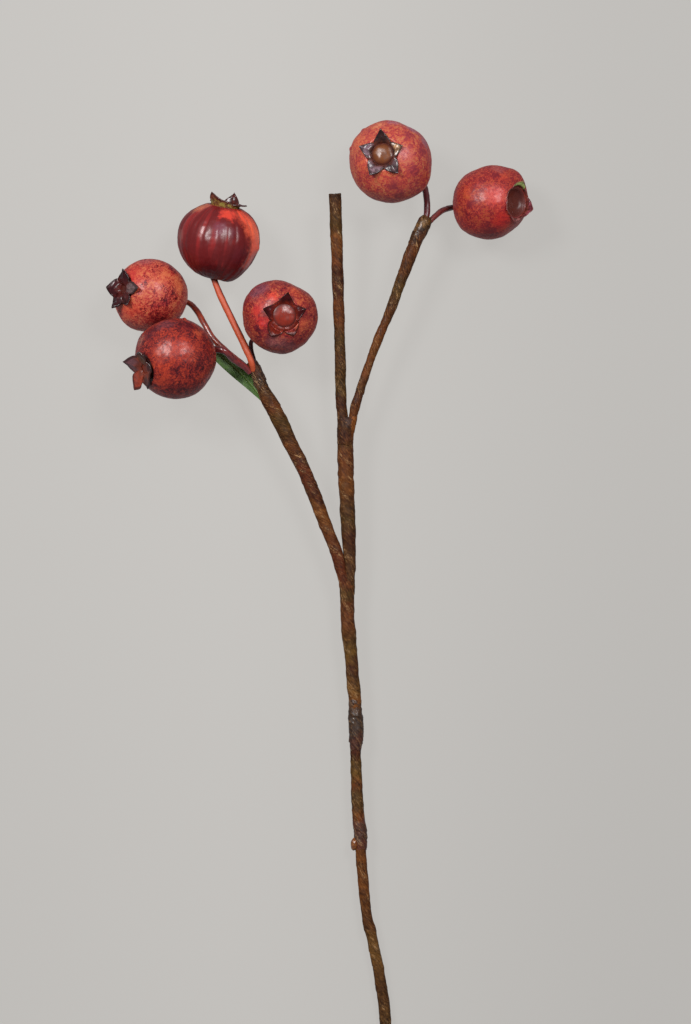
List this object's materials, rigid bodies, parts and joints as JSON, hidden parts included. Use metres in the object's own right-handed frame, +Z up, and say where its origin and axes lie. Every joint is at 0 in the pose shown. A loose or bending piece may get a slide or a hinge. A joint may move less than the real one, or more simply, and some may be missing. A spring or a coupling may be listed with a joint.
{
  "type": "rose hip sprig",
  "caption": "Forked, wrapped stem lying down, with clusters of round red rose hips on thin stalks, each hip crowned by a star of dry sepals, and a narrow green leaf.",
  "frame": {"origin": "on the surface the sprig lies on, under the middle of its outline seen from above", "axes": "+Y along the stem towards the hips, +X to the right of the stem seen from above with the hips away from the viewer, +Z up"},
  "size_m": [0.1208, 0.266, 0.0319],
  "materials": {
    "hip": "glossy mottled skin",
    "calyx": "dry, dark, slightly glossy",
    "stem": "wrapped, creased, semi-gloss",
    "wrap": "creased tape, semi-gloss",
    "stalk": "smooth, semi-gloss",
    "bead": "glossy dried drop",
    "leaf": "satin leaf"
  },
  "bodies": {
    "root": {"main_stem": "stem", "centre_twig": "stem", "right_twig": "stem", "left_branch": "stem", "lower_fork_wrap": "wrap", "upper_fork_wrap": "wrap", "splice_wrap": "wrap", "tail_wrap": "wrap", "left_cluster_binding": "wrap", "right_cluster_binding": "wrap", "glue_bead": "bead", "leaf": "leaf", "left_stalk_upper": "stalk", "left_stalk_outer": "stalk", "left_stalk_front": "stalk", "left_stalk_inner": "stalk", "right_stalk_inner": "stalk", "right_stalk_outer": "stalk", "left_hip_upper": "hip", "left_hip_outer": "hip", "left_hip_front": "hip", "left_hip_inner": "hip", "right_hip_inner": "hip", "right_hip_outer": "hip", "left_calyx_upper": "calyx", "left_calyx_outer": "calyx", "left_calyx_front": "calyx", "left_calyx_inner": "calyx", "right_calyx_inner": "calyx", "right_calyx_outer": "calyx"}
  },
  "joints": []
}
